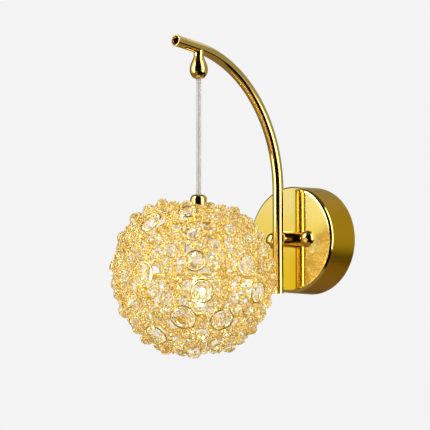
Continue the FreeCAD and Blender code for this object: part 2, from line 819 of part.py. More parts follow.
# ---------------------------------------------------------------- ball frame
def shell_distance(polar, depth):
    """Distance from the ball's centre to its surface, or to the surface `depth` under it.

    Polar is measured down from straight up. Below the shoulder the surface is a sphere, over the
    shoulder it is an arc of its own, and the crown is flat.
    """
    if polar >= shoulder_polar:
        return ball_radius - depth
    level = crown_height - depth
    if level * math.tan(math.radians(polar)) < flank_reach * math.sin(math.radians(shoulder_polar)):
        return level / math.cos(math.radians(polar))
    off = math.radians(shoulder_polar - polar)
    return (flank_reach * math.cos(off)
            + math.sqrt((shoulder_radius - depth) ** 2 - (flank_reach * math.sin(off)) ** 2))


def ball_direction(polar, bearing):
    across = math.sin(math.radians(polar))
    return FreeCAD.Vector(across * math.cos(math.radians(bearing)),
                          across * math.sin(math.radians(bearing)), math.cos(math.radians(polar)))


def ball_middle():
    return at(0, gland_out, ball_centre)


def mouth_polar():
    return 180 - math.degrees(math.asin(mouth_radius / (ball_radius - rib_depth)))


def rib_path(bearing):
    """Centre line of one rib: level over the crown, round the shoulder, down to the mouth ring."""
    rib_radius = ball_radius - rib_depth
    bend_radius = shoulder_radius - rib_depth
    rib_end = mouth_polar() - math.degrees((mouth_ring_wire_radius + loose_gap) / rib_radius)
    outward = ball_direction(90, bearing)
    bend_centre = ball_middle() + ball_direction(shoulder_polar, bearing) * flank_reach
    crown_start = (ball_middle() + UPWARD * (crown_height - rib_depth)
                   + outward * (hub_radius + hole_clearance))
    crown_end = bend_centre + UPWARD * bend_radius
    bend_middle = bend_centre + ball_direction(shoulder_polar / 2, bearing) * bend_radius
    points = [ball_middle() + ball_direction(polar, bearing) * rib_radius
              for polar in (shoulder_polar, (shoulder_polar + rib_end) / 2, rib_end)]
    return Part.Wire([straight(crown_start, crown_end),
                      curved(crown_end, bend_middle, points[0]), curved(*points)])


def rib_bearings():
    return [360.0 * (i + 0.5) / frame_ribs for i in range(frame_ribs)]


def frame_rib_wires():
    return Part.makeCompound([swept_rod(frame_wire_radius, rib_path(bearing))
                              for bearing in rib_bearings()])


def frame_hoop_wires():
    """Level hoops inside the ribs."""
    hoops = []
    for polar in frame_hoop_angles:
        distance = shell_distance(polar, hoop_depth)
        level = ball_centre + distance * math.cos(math.radians(polar))
        hoops.append(Part.makeTorus(distance * math.sin(math.radians(polar)),
                                    frame_wire_radius, at(0, gland_out, level), UPWARD))
    return Part.makeCompound(hoops)


def mouth_ring():
    """The ring round the open mouth under the ball, where the lamp goes in."""
    level = ball_centre + (ball_radius - rib_depth) * math.cos(math.radians(mouth_polar()))
    return Part.makeTorus(mouth_radius, mouth_ring_wire_radius, at(0, gland_out, level), UPWARD)


# ---------------------------------------------------------------- crystals
def uneven(index, seed):
    """A steady uneven number from 0 to 1, so that strung crystals aren't all alike."""
    return (math.sin(index * 12.9898 + seed * 78.233) * 43758.5453) % 1.0


def fullness(direction):
    """1 on the middle of the ball's fuller side, -1 on the side opposite."""
    return direction.dot(ball_direction(90, fuller_side_bearing))


def axis_distance(point):
    return math.hypot(point.x, point.y + gland_out)


def clear_of_ends(centre, radius):
    """True where a bead leaves room for the cap above and for the open mouth below."""
    if centre.z > ball_centre:
        return axis_distance(centre) > cap_radius + radius + loose_gap
    return axis_distance(centre) > mouth_radius + radius - mouth_ring_wire_radius


def swell(direction):
    """How far the ball stands out over the fuller side's shoulder, fading to nothing round it."""
    off = math.degrees(direction.getAngle(ball_direction(swell_polar, fuller_side_bearing)))
    return swell_depth * math.cos(math.radians(90 * min(off / swell_spread, 1))) ** 2


def net_surface(direction):
    """Distance from the ball's centre to the outermost points of its crystals that way."""
    polar = math.degrees(math.acos(direction.z))
    surface = shell_distance(polar, 0) + fuller_side_depth * fullness(direction) + swell(direction)
    if direction.z < 0:
        across = ball_radius * math.sin(math.radians(polar))
        surface += mouth_rim_drop * (mouth_radius / across) ** 2
    return surface


def rosette_places():
    """Centre, radius and outward direction of each rosette."""
    places = []
    for polar, bearing, radius in rosettes:
        for direction in (ball_direction(polar, bearing), ball_direction(180 - polar, bearing + 180)):
            depth = rosette_depth + rosette_crown + rosette_girdle / 2
            places.append((ball_middle() + direction * (net_surface(direction) - depth),
                           radius, direction))
    return places


def large_crystal_places(taken):
    """Centres and radii of the large crystals, spread evenly by the golden angle where no rosette is."""
    places = []
    golden = 180 * (3 - math.sqrt(5))
    for i in range(crystal_positions):
        polar = math.degrees(math.acos(1 - (2 * i + 1) / crystal_positions))
        direction = ball_direction(polar, golden * i + crystal_stray * uneven(i, 3))
        radius = (crystal_radius + crystal_variation * (2 * uneven(i, 1) - 1)
                  + fuller_side_growth * fullness(direction))
        centre = ball_middle() + direction * (net_surface(direction) - radius)
        if clear_of_ends(centre, radius) and room_at(centre, taken) > radius + crystal_spare:
            places.append((centre, radius))
    return places


def neighbour_triangles(places):
    """Triples of neighbouring crystals with no other crystal above their plane."""
    directions = [(knot[0] - ball_middle()).normalize() for knot in places]
    spacing = math.sqrt(4 * math.pi / crystal_positions)
    near = [[j for j, other in enumerate(directions)
             if j != i and (other - here).Length < neighbour_reach * spacing]
            for i, here in enumerate(directions)]
    triangles = []
    for i, close in enumerate(near):
        for j in (j for j in close if j > i):
            for k in (k for k in close if k > j and k in near[j]):
                normal = (directions[j] - directions[i]).cross(directions[k] - directions[i])
                normal.normalize()
                reach = normal.dot(directions[i])
                if reach < 0:
                    normal, reach = -normal, -reach
                others = set(near[i] + near[j] + near[k]) - {i, j, k}
                if all(normal.dot(directions[m]) < reach for m in others) and reach > net_flatness:
                    triangles.append((i, j, k))
    return triangles


def neighbour_pairs(triangles):
    pairs = set()
    for i, j, k in triangles:
        pairs.update([(i, j), (i, k), (j, k)])
    return sorted(pairs)


def room_at(centre, beads):
    """The largest radius a bead can have there without touching the beads already strung."""
    return min(((centre - other).Length - radius for other, radius in beads),
               default=filler_sight) - bead_gap


def wire_anchor(knot, towards):
    """The point that a wire running that way is aimed from and the radius round it: the middle of
    a round crystal, or the near point of the ring round a rosette."""
    centre, radius, outward = knot
    if not outward:
        return centre, radius
    along = towards - centre
    along = along - outward * along.dot(outward)
    return centre + along.normalize() * (radius - rosette_wire_radius), rosette_wire_radius


def link_run(knot, other):
    """Both ends of the wire between two knots, each a bead gap off what it is tied to."""
    start, start_radius = wire_anchor(knot, other[0])
    end, end_radius = wire_anchor(other, knot[0])
    along = (end - start).normalize()
    return start + along * (start_radius + bead_gap), end - along * (end_radius + bead_gap)


def distance_to_run(point, start, end):
    """Distance from a point to the straight run between two others."""
    run = end - start
    share = min(max((point - start).dot(run) / run.dot(run), 0), 1)
    return (point - start - run * share).Length


def strung_beads(knots, pairs):
    """Each pair's wire and the drilled beads along it, {pair: (start, end, [(centre, radius), ...])},
    and every crystal and bead placed so far."""
    links = {}
    placed = [knot[:2] for knot in knots]
    for i, j in pairs:
        start, end = link_run(knots[i], knots[j])
        if not clear_of_ends((start + end) * 0.5, link_wire_radius):
            continue
        count = max(1, round((end - start).Length / bead_pitch))
        beads = []
        for n in range(count):
            centre = start + (end - start) * ((n + 0.5) / count)
            radius = min(bead_radius, room_at(centre, placed))
            if radius > bead_smallest and clear_of_ends(centre, radius):
                beads.append((centre, radius))
                placed.append((centre, radius))
        links[i, j] = (start, end, beads)
    return links, placed


def filling_beads(knots, triangles, links, placed):
    """Beads in the hollows between each three knots of the net, each as large as fits."""
    fillers = []
    for weights in filler_weights:
        for corners in triangles:
            wires = [links[pair][:2] for pair in neighbour_pairs([corners]) if pair in links]
            for first in range(3 if weights[0] != weights[1] else 1):
                points = [knots[i][0] for i in corners[first:] + corners[:first]]
                middle = sum((point * weight for point, weight in zip(points, weights)),
                             FreeCAD.Vector())
                best = filler_at(middle, wires, placed)
                if best:
                    fillers.append(best)
                    placed.append(best)
    return fillers


def filler_at(middle, wires, placed):
    """The largest bead over `middle` that fits, clears the wires and lies against a round neighbour."""
    outward = (middle - ball_middle()).normalize()
    near = [bead for bead in placed if (bead[0] - middle).Length < filler_sight]
    near_round = [bead for bead in near if bead not in placed[:2 * len(rosettes)]]
    best = None
    for height in filler_heights:
        centre = middle + outward * height
        room = room_at(centre, near)
        to_seat = room_at(centre, near_round)
        to_wires = min((distance_to_run(centre, *wire) for wire in wires), default=bead_radius)
        radius = min(bead_radius, room, to_wires - link_wire_radius - bead_gap)
        if (to_seat - radius < filler_loosest and clear_of_ends(centre, radius)
                and radius > (best[1] if best else bead_smallest)):
            best = (centre, radius)
    return best


def rosette_crystals(places):
    """Wide crystals cut alike on both faces: a flat table, a sloping crown and a thin girdle."""
    crystals = []
    for centre, radius, outward in places:
        half_girdle = rosette_girdle / 2
        crystal = Part.makeCylinder(radius, rosette_girdle, centre - outward * half_girdle, outward)
        for side in (outward, outward * -1):
            crystal = crystal.fuse(Part.makeCone(radius, radius - rosette_slope_run, rosette_crown,
                                                 centre + side * half_girdle, side))
        crystals.append(crystal)
    return Part.makeCompound(crystals)


def rosette_ring_radius(radius):
    """Radius of the ring's centre line round a rosette of that radius."""
    return radius + bead_gap + rosette_wire_radius


def rosette_rings(places):
    return Part.makeCompound([Part.makeTorus(rosette_ring_radius(radius), rosette_wire_radius,
                                             centre, outward) for centre, radius, outward in places])


def large_crystals(places):
    return Part.makeCompound([Part.makeSphere(radius, centre) for centre, radius in places])


def drilled_beads(links):
    beads = []
    for start, end, strung in links.values():
        along = (end - start).normalize()
        for centre, radius in strung:
            hole = Part.makeCylinder(bead_hole_radius, 4 * radius, centre - along * (2 * radius), along)
            beads.append(Part.makeSphere(radius, centre, along).cut(hole))
    return Part.makeCompound(beads)


def link_wires(links):
    return Part.makeCompound([Part.makeCylinder(link_wire_radius, (end - start).Length, start,
                                                end - start) for start, end, _ in links.values()])


def tie_wires(places, placed):
    """Short wires that tie the large crystals lying over a rib to that rib."""
    ribs = [rib_path(bearing) for bearing in rib_bearings()]
    wires = []
    for centre, radius in places:
        here = Part.Vertex(centre)
        distance, meeting = min(((gap, pairs[0][1]) for gap, pairs, _ in map(here.distToShape, ribs)),
                                key=lambda found: found[0])
        along = (meeting - centre).normalize()
        start = centre + along * (radius + bead_gap)
        length = distance - radius - frame_wire_radius - 2 * bead_gap
        beads = [bead for bead in placed if bead[0] != centre]
        if tie_shortest < length < tie_reach and clear_run(start, start + along * length, beads):
            wires.append(Part.makeCylinder(link_wire_radius, length, start, along))
    return Part.makeCompound(wires)


def clear_run(start, end, beads):
    """True where a thin wire between the two points passes every bead."""
    return all(distance_to_run(centre, start, end) > radius + link_wire_radius + bead_gap
               for centre, radius in beads)


def small_beads(fillers):
    return Part.makeCompound([Part.makeSphere(radius, centre) for centre, radius in fillers])


# ---------------------------------------------------------------- lampholder
def contact_top():
    """Top of the contact, just above the end of the lamp's pin."""
    return lamp_top + pin_length + loose_gap + contact_leaf


def pin_places():
    return (-pin_spacing / 2, pin_spacing / 2)


def contact_size():
    """Width across the pin and depth along it, outside."""
    return pin_thickness + 2 * thread_clearance + 2 * contact_leaf, pin_width + contact_past_pin


def lampholder_body():
    """Ceramic body: a pocket for each contact, a slot for each pin and a port for each lead."""
    body = block((-holder_width / 2, holder_width / 2),
                 (gland_out - holder_depth / 2, gland_out + holder_depth / 2),
                 (holder_bottom, holder_top))
    corners = [edge for edge in body.Edges if edge.BoundBox.ZLength > holder_height - 0.01]
    body = body.makeFillet(holder_corner_round, corners)
    across, along = contact_size()
    for x in pin_places():
        half_across = across / 2 + thread_clearance
        half_along = along / 2 + thread_clearance
        body = body.cut(block((x - half_across, x + half_across),
                              (gland_out - half_along, gland_out + half_along),
                              (holder_bottom + holder_floor, contact_top() + thread_clearance)))
        half_slot = pin_thickness / 2 + hole_clearance
        half_slot_along = pin_width / 2 + hole_clearance
        body = body.cut(block((x - half_slot, x + half_slot),
                              (gland_out - half_slot_along, gland_out + half_slot_along),
                              (holder_bottom, holder_bottom + holder_floor)))
        body = body.cut(upright_cylinder(core_radius + hole_clearance, contact_top(), holder_top, x))
        body = body.cut(holder_screw_hole(x))
    return body


def holder_screw_hole(x):
    side = math.copysign(1, x)
    start = FreeCAD.Vector(side * (holder_width / 2 - holder_screw_bite), -gland_out,
                           holder_top - holder_screw_drop)
    return Part.makeCylinder(holder_screw_radius + thread_clearance, holder_screw_bite + 5, start,
                             SIDEWAYS * side)


def holder_contacts():
    """Two folded leaves that grip the lamp's pins."""
    across, along = contact_size()
    contacts = []
    for x in pin_places():
        top = contact_top()
        outer = block((x - across / 2, x + across / 2),
                      (gland_out - along / 2, gland_out + along / 2), (top - contact_length, top))
        gap = pin_thickness / 2 + thread_clearance
        inner = block((x - gap, x + gap), (gland_out - along / 2, gland_out + along / 2),
                      (top - contact_length, top - contact_leaf))
        contacts.append(outer.cut(inner))
    return Part.makeCompound(contacts)


def holder_stirrup():
    """Steel strap over the ceramic, hung from the nipple and screwed to the sides."""
    inside = holder_width / 2 + hole_clearance
    outside = inside + stirrup_sheet
    depth_range = (gland_out - stirrup_depth / 2, gland_out + stirrup_depth / 2)
    leg_end = stirrup_top - stirrup_leg
    strap = block((-outside, outside), depth_range, (leg_end, stirrup_top))
    strap = strap.cut(block((-inside, inside), depth_range, (leg_end, stirrup_bottom)))
    strap = strap.cut(upright_cylinder(nipple_radius + thread_clearance, leg_end, stirrup_top))
    for x in pin_places():
        strap = strap.cut(holder_screw_hole(x))
    return strap


def holder_screws():
    screws = []
    leg_outside = holder_width / 2 + hole_clearance + stirrup_sheet
    for side in (-1, 1):
        tip = side * (holder_width / 2 - holder_screw_bite + loose_gap)
        start = FreeCAD.Vector(tip, -gland_out, holder_top - holder_screw_drop)
        shank = Part.makeCylinder(holder_screw_radius, leg_outside - abs(tip), start, SIDEWAYS * side)
        head_start = FreeCAD.Vector(side * leg_outside, -gland_out, holder_top - holder_screw_drop)
        head = Part.makeCylinder(holder_screw_head_radius, holder_screw_head_height, head_start,
                                 SIDEWAYS * side)
        screws.append(shank.fuse(head))
    return Part.makeCompound(screws)


# ---------------------------------------------------------------- lamp
def lamp_pins():
    return Part.makeCompound([block((x - pin_thickness / 2, x + pin_thickness / 2),
                                    (gland_out - pin_width / 2, gland_out + pin_width / 2),
                                    (lamp_top, lamp_top + pin_length)) for x in pin_places()])


def lamp_base():
    base = upright_cylinder(lamp_radius, lamp_top - lamp_base_height, lamp_top)
    top_edge = [edge for edge in base.Edges if edge.BoundBox.ZMin > lamp_top - 0.01]
    return base.makeFillet(lamp_shoulder_round, top_edge)


def lamp_glass_envelope():
    """Clear tube with a round end, open against the base."""
    def capsule(radius):
        end = lamp_bottom + lamp_radius
        tube = upright_cylinder(radius, end, lamp_top - lamp_base_height)
        return tube.fuse(Part.makeSphere(radius, at(0, gland_out, end)))

    return capsule(lamp_radius).cut(capsule(lamp_radius - lamp_glass)).removeSplitter()


def led_core_range():
    return lamp_bottom + led_core_margin, lamp_top - lamp_base_height


def led_core():
    bottom, top = led_core_range()
    flats = led_core_radius * math.sqrt(3)
    return hexagon(flats, top - bottom, led_core_bore, at(0, gland_out, bottom), UPWARD)


def led_chips():
    """Rows of light-emitting chips on the six sides of the core."""
    bottom, top = led_core_range()
    pitch = (top - bottom) / (led_rows + 1)
    face_distance = led_core_radius * math.cos(math.radians(30))
    half = led_chip_size / 2
    chips = []
    for side in range(6):
        for row in range(led_rows):
            chip = Part.makeBox(led_chip_height, led_chip_size, led_chip_size,
                                FreeCAD.Vector(face_distance, -half, -half))
            turn = FreeCAD.Rotation(UPWARD, 30 + 60 * side)
            chip.Placement = FreeCAD.Placement(at(0, gland_out, bottom + pitch * (row + 1)), turn)
            chips.append(chip)
    return Part.makeCompound(chips)


# ---------------------------------------------------------------- all nodes
def build_nodes():
    wide = rosette_places()
    ringed = [(centre, rosette_ring_radius(radius) + rosette_wire_radius, outward)
              for centre, radius, outward in wide]
    round_ones = large_crystal_places([knot[:2] for knot in ringed])
    knots = ringed + [(centre, radius, None) for centre, radius in round_ones]
    triangles = neighbour_triangles(knots)
    links, placed = strung_beads(knots, neighbour_pairs(triangles))
    fillers = filling_beads(knots, triangles, links, placed)
    print("rosettes", len(wide), "crystals", len(round_ones), "links", len(links),
          "drilled", sum(len(strung) for _, _, strung in links.values()), "small", len(fillers))
    plain_nodes = [canopy, wall_bracket, bracket_studs, stud_lock_nuts, dome_nuts, post,
                   arm_nipple, nipple_washer, nipple_nut, arm_tube, arm_foot_plug, arm_end_bush,
                   gland_collar, cord_gland, cord_stop, arm_cord, cord_cores, pendant_cord,
                   terminal_block, terminal_sleeves, terminal_screws, block_screw, earth_tag,
                   earth_lead, earth_screw, pendant_cap, cord_anchor, pendant_nipple, neck_spacer,
                   frame_hub, hub_nut, holder_nut, pendant_leads, frame_rib_wires,
                   frame_hoop_wires, mouth_ring, lampholder_body, holder_contacts, holder_stirrup,
                   holder_screws, lamp_pins, lamp_base, lamp_glass_envelope, led_core, led_chips]
    nodes = {make.__name__: make() for make in plain_nodes}
    nodes["rosette_crystals"] = rosette_crystals(wide)
    nodes["rosette_rings"] = rosette_rings(wide)
    nodes["large_crystals"] = large_crystals(round_ones)
    nodes["drilled_beads"] = drilled_beads(links)
    nodes["link_wires"] = link_wires(links)
    nodes["tie_wires"] = tie_wires(round_ones, placed)
    nodes["small_beads"] = small_beads(fillers)
    return nodes


os.makedirs("parts", exist_ok=True)
for name, shape in build_nodes().items():
    shape.exportStep("parts/%s.step" % name)
    print("%-22s solids %3d  valid %s  volume %.1f" % (name, len(shape.Solids), shape.isValid(),
                                                       shape.Volume))
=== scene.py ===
"""Looks of the crystal wall sconce: cut crystals strung on gilt wire, polished and satin gilt
metal, a clear two-core cord and a lit pin lamp. Metres, in the frame of the solid model."""

import json
import math

import bmesh
import bpy
import numpy as np
from mathutils import Matrix, Vector


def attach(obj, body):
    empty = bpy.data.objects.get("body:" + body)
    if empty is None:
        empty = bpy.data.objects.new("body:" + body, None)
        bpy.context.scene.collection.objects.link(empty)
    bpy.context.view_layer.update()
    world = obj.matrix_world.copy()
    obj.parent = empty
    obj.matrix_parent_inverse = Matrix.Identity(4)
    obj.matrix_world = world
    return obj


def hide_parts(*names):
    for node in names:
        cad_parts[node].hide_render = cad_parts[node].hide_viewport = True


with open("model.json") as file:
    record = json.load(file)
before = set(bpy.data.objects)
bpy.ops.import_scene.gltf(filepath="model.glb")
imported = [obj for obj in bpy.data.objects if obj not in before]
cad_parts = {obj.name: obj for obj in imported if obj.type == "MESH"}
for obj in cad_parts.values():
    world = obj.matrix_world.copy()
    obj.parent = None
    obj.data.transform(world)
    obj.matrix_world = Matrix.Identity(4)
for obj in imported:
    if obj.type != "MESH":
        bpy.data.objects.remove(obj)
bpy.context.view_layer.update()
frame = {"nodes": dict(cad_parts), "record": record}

# ---------------------------------------------------------------- sizes taken from the solid model
CORD_OUT = 0.155
GLAND_PIVOT = 0.136938
CORD_ANCHOR = 0.029538
CORD_DIAMETER = 0.0042
CORE_OFFSET = 0.00095
CORE_SETBACK = 0.0005
CORE_TURN = math.radians(12)
CORE_RADIUS = 0.00055
BALL_MIDDLE = Vector((0.0, -CORD_OUT, -0.037162))

# The photograph's view: turned from the wall's normal, a little from below.
VIEW_TURN = math.radians(42.81)
VIEW_LIFT = math.radians(-4.45)
VIEW_DISTANCE = 1.350
VIEW_RIGHT = 0.09127
VIEW_DOWN = 0.02458
VIEW_LENS = 120.47
STUDIO_MIDDLE = Vector((0.0, -0.120, 0.030))

# Tones of the backdrop as the photograph shows it, and of the light that falls on the sconce.
BACKDROP = (0.900, 0.900, 0.900)
FILL_LIGHT = 0.32
FLOOR_PALENESS = 0.78
FLOOR_RADIUS = 2.2
FLOOR_LEVEL = -0.42
LIGHT_DISTANCE = 1.3

# Cards round the sconce: their distance, how finely they are curved, their levels from the studio's
# middle, and their tones.
CARD_DISTANCE = 1.6
CARD_STEPS = 12
CARD_TOP = 3.5
FLOOR_CARD_LEVEL = -0.43
CEILING_CARD_LEVEL = 2.6
WHITE = (0.95, 0.95, 0.95)
BLACK = (0.004, 0.004, 0.004)
DEEP_BROWN = (0.075, 0.065, 0.05)
SMOKE = (0.12, 0.115, 0.105)
OLIVE = (0.34, 0.35, 0.27)
UNDERSIDE = (0.26, 0.20, 0.13)
WARM_WHITE = (0.84, 0.66, 0.05)
CREAM = (0.94, 0.84, 0.42)

# Thin wire loops round crystals and beads: wire radius, gap to the glass, and how far they lean.
CRYSTAL_LOOP_WIRE = 0.0003
CRYSTAL_LOOP_GAP = 0.0002
CRYSTAL_LOOP_LEANS = (0.25, 1.2)
BEAD_LOOP_WIRE = 0.00022
BEAD_LOOP_GAP = 0.0001
BEAD_LOOP_LEANS = (0.7, 2.0)

LIGHT_BOUNCES = 32

shuffle = np.random.default_rng(11)


# ---------------------------------------------------------------- camera and studio
def view_axes():
    """Right, up and backward directions of the photograph's camera."""
    back = Vector((math.sin(VIEW_TURN) * math.cos(VIEW_LIFT),
                   -math.cos(VIEW_TURN) * math.cos(VIEW_LIFT), math.sin(VIEW_LIFT)))
    right = Vector((math.cos(VIEW_TURN), math.sin(VIEW_TURN), 0.0))
    return right, back.cross(right), back


def photo_camera():
    right, up, back = view_axes()
    camera = bpy.data.objects.new("photo_camera", bpy.data.cameras.new("photo_camera"))
    camera.data.lens = VIEW_LENS
    camera.data.sensor_width = 36.0
    camera.location = back * VIEW_DISTANCE - right * VIEW_RIGHT + up * VIEW_DOWN
    camera.rotation_euler = Matrix((right, up, back)).transposed().to_euler()
    bpy.context.scene.collection.objects.link(camera)
    bpy.context.scene.camera = camera


def studio_direction(side, lift=0.0):
    """Direction from the sconce: `side` degrees right of the camera, `lift` degrees above level."""
    turn = VIEW_TURN + math.radians(side)
    level = math.cos(math.radians(lift))
    return Vector((math.sin(turn) * level, -math.cos(turn) * level, math.sin(math.radians(lift))))


def soft_light(name, side, lift, width, height, power, mirrored=True):
    """A soft lamp aimed at the sconce; metal mirrors its shape only where it is `mirrored`."""
    light = bpy.data.lights.new(name, "AREA")
    light.shape = "RECTANGLE"
    light.size = width
    light.size_y = height
    light.energy = power
    lamp = bpy.data.objects.new(name, light)
    outward = studio_direction(side, lift)
    lamp.location = STUDIO_MIDDLE + outward * LIGHT_DISTANCE
    lamp.rotation_euler = outward.to_track_quat("Z", "Y").to_euler()
    lamp.visible_camera = False
    lamp.visible_glossy = mirrored
    bpy.context.scene.collection.objects.link(lamp)


def studio_card(name, sides, heights, tone, through_glass=False):
    """Upright curved card round the sconce, as in a photographer's tent. Only gloss sees it, and
    glass where `through_glass`. `sides` are its limits in degrees to the right of the camera,
    `heights` its limits in metres."""
    first_side, last_side = sides
    points = []
    for i in range(CARD_STEPS + 1):
        outward = studio_direction(first_side + (last_side - first_side) * i / CARD_STEPS)
        foot = STUDIO_MIDDLE + outward * CARD_DISTANCE
        points += [foot + Vector((0, 0, height)) for height in heights]
    add_card(name, points, tone, through_glass)


def level_card(name, sides, reaches, height, tone):
    """Level sector just over the floor or overhead, which only gloss sees. `reaches` are its
    limits out from the sconce, in metres."""
    first_side, last_side = sides
    points = []
    for i in range(CARD_STEPS + 1):
        outward = studio_direction(first_side + (last_side - first_side) * i / CARD_STEPS)
        points += [STUDIO_MIDDLE + outward * reach + Vector((0, 0, height)) for reach in reaches]
    add_card(name, points, tone, False)


def add_card(name, points, tone, through_glass):
    """Card through a strip of points, two to each step."""
    mesh = bpy.data.meshes.new(name)
    mesh.from_pydata(points, [], [(2 * i, 2 * i + 2, 2 * i + 3, 2 * i + 1)
                                  for i in range(CARD_STEPS)])
    card = bpy.data.objects.new(name, mesh)
    mesh.materials.append(even_light(name, tone))
    for ray in ("camera", "diffuse", "shadow", "volume_scatter"):
        setattr(card, "visible_" + ray, False)
    card.visible_transmission = through_glass
    bpy.context.scene.collection.objects.link(card)


def even_light(name, tone):
    """A card of one even tone, whatever falls on it."""
    material = bpy.data.materials.new(name)
    material.use_nodes = True
    tree = material.node_tree
    tree.nodes.clear()
    glow = tree.nodes.new("ShaderNodeEmission")
    glow.inputs["Color"].default_value = tuple(tone) + (1,)
    out = tree.nodes.new("ShaderNodeOutputMaterial")
    tree.links.new(glow.outputs[0], out.inputs["Surface"])
    return material


def seen_directly(tree):
    """1 for rays that see the backdrop: from the camera, off gloss and through glass."""
    path = tree.nodes.new("ShaderNodeLightPath")
    first = tree.nodes.new("ShaderNodeMath")
    first.operation = "MAXIMUM"
    second = tree.nodes.new("ShaderNodeMath")
    second.operation = "MAXIMUM"
    tree.links.new(path.outputs["Is Camera Ray"], first.inputs[0])
    tree.links.new(path.outputs["Is Glossy Ray"], first.inputs[1])
    tree.links.new(first.outputs[0], second.inputs[0])
    tree.links.new(path.outputs["Is Transmission Ray"], second.inputs[1])
    return second.outputs[0]


def studio_world():
    world = bpy.data.worlds.new("studio")
    bpy.context.scene.world = world
    world.use_nodes = True
    tree = world.node_tree
    tree.nodes.clear()
    backdrop = tree.nodes.new("ShaderNodeBackground")
    backdrop.inputs["Color"].default_value = BACKDROP + (1,)
    fill = tree.nodes.new("ShaderNodeBackground")
    fill.inputs["Strength"].default_value = FILL_LIGHT
    mix = tree.nodes.new("ShaderNodeMixShader")
    out = tree.nodes.new("ShaderNodeOutputWorld")
    tree.links.new(seen_directly(tree), mix.inputs[0])
    tree.links.new(fill.outputs[0], mix.inputs[1])
    tree.links.new(backdrop.outputs[0], mix.inputs[2])
    tree.links.new(mix.outputs[0], out.inputs["Surface"])


def studio_floor():
    """Pale round floor well under the sconce, which still takes a faint shadow."""
    bm = bmesh.new()
    bmesh.ops.create_circle(bm, cap_ends=True, segments=64, radius=FLOOR_RADIUS)
    mesh = bpy.data.meshes.new("studio_floor")
    bm.to_mesh(mesh)
    bm.free()
    floor = bpy.data.objects.new("studio_floor", mesh)
    floor.location = (0, 0, FLOOR_LEVEL)
    material = bpy.data.materials.new("studio_floor")
    material.use_nodes = True
    shader = material.node_tree.nodes["Principled BSDF"]
    shader.inputs["Base Color"].default_value = (0.88, 0.88, 0.88, 1)
    shader.inputs["Roughness"].default_value = 0.9
    shader.inputs["Specular IOR Level"].default_value = 0.1
    tree = material.node_tree
    pale = chained(tree, "Emission", {}, {"Color": BACKDROP + (1,)})
    share = chained(tree, "Math", {"operation": "MULTIPLY"},
                    {0: seen_directly(tree), 1: FLOOR_PALENESS})
    mix = chained(tree, "MixShader", {}, {0: share.outputs[0]})
    tree.links.new(shader.outputs[0], mix.inputs[1])
    tree.links.new(pale.outputs[0], mix.inputs[2])
    tree.links.new(mix.outputs[0], tree.nodes["Material Output"].inputs["Surface"])
    mesh.materials.append(material)
    bpy.context.scene.collection.objects.link(floor)


def studio():
    studio_world()
    studio_floor()
    soft_light("strip_left", -66, 4, 0.62, 3.4, 26.0)
    soft_light("strip_right", 55, 4, 0.52, 3.4, 20.0)
    soft_light("overhead", 10, 72, 0.9, 0.9, 7.0, mirrored=False)
    studio_card("white_card_left", (-112, -80), (0.13, CARD_TOP), WHITE)
    studio_card("cream_card_left", (-112, -80), (0.06, 0.13), CREAM)
    studio_card("warm_card_left", (-112, -80), (-CARD_TOP, 0.06), WARM_WHITE)
    studio_card("black_card_front", (-50, 32), (-CARD_TOP, CARD_TOP), BLACK)
    studio_card("dark_card_front", (-14, 12), (-0.5, 0.5), BLACK, True)
    studio_card("smoke_card_left", (-172, -112), (-CARD_TOP, CARD_TOP), SMOKE)
    studio_card("olive_card_right", (80, 172), (FLOOR_CARD_LEVEL, 1.34), OLIVE)
    studio_card("brown_card_right", (80, 172), (1.6, CARD_TOP), DEEP_BROWN)
    level_card("ceiling_card", (-180, 180), (0.01, 1.6), CEILING_CARD_LEVEL, DEEP_BROWN)
    level_card("black_floor_front", (-20, 80), (0.33, 1.9), FLOOR_CARD_LEVEL, BLACK)
    level_card("black_floor_right", (80, 172), (0.80, 1.9), FLOOR_CARD_LEVEL, BLACK)
    level_card("brown_floor", (-180, 180), (0.01, 1.9), FLOOR_CARD_LEVEL - 0.01, UNDERSIDE)


# ---------------------------------------------------------------- shared surface effects
def group_with(name, inputs, outputs):
    """An empty node group with the named sockets; each input is (name, kind, value)."""
    group = bpy.data.node_groups.new(name, "ShaderNodeTree")
    for label, kind, value in inputs:
        socket = group.interface.new_socket(label, in_out="INPUT", socket_type="NodeSocket" + kind)
        if value is not None:
            socket.default_value = value
    for label, kind in outputs:
        group.interface.new_socket(label, in_out="OUTPUT", socket_type="NodeSocket" + kind)
    start = group.nodes.new("NodeGroupInput")
    end = group.nodes.new("NodeGroupOutput")
    return group, start.outputs, end.inputs


def chained(tree, kind, settings, sources):
    """A node with its settings, its inputs linked to `sources` or set to plain values."""
    node = tree.nodes.new("ShaderNode" + kind)
    for key, value in settings.items():
        setattr(node, key, value)
    for label, source in sources.items():
        if isinstance(source, bpy.types.NodeSocket):
            tree.links.new(source, node.inputs[label])
        else:
            node.inputs[label].default_value = source
    return node


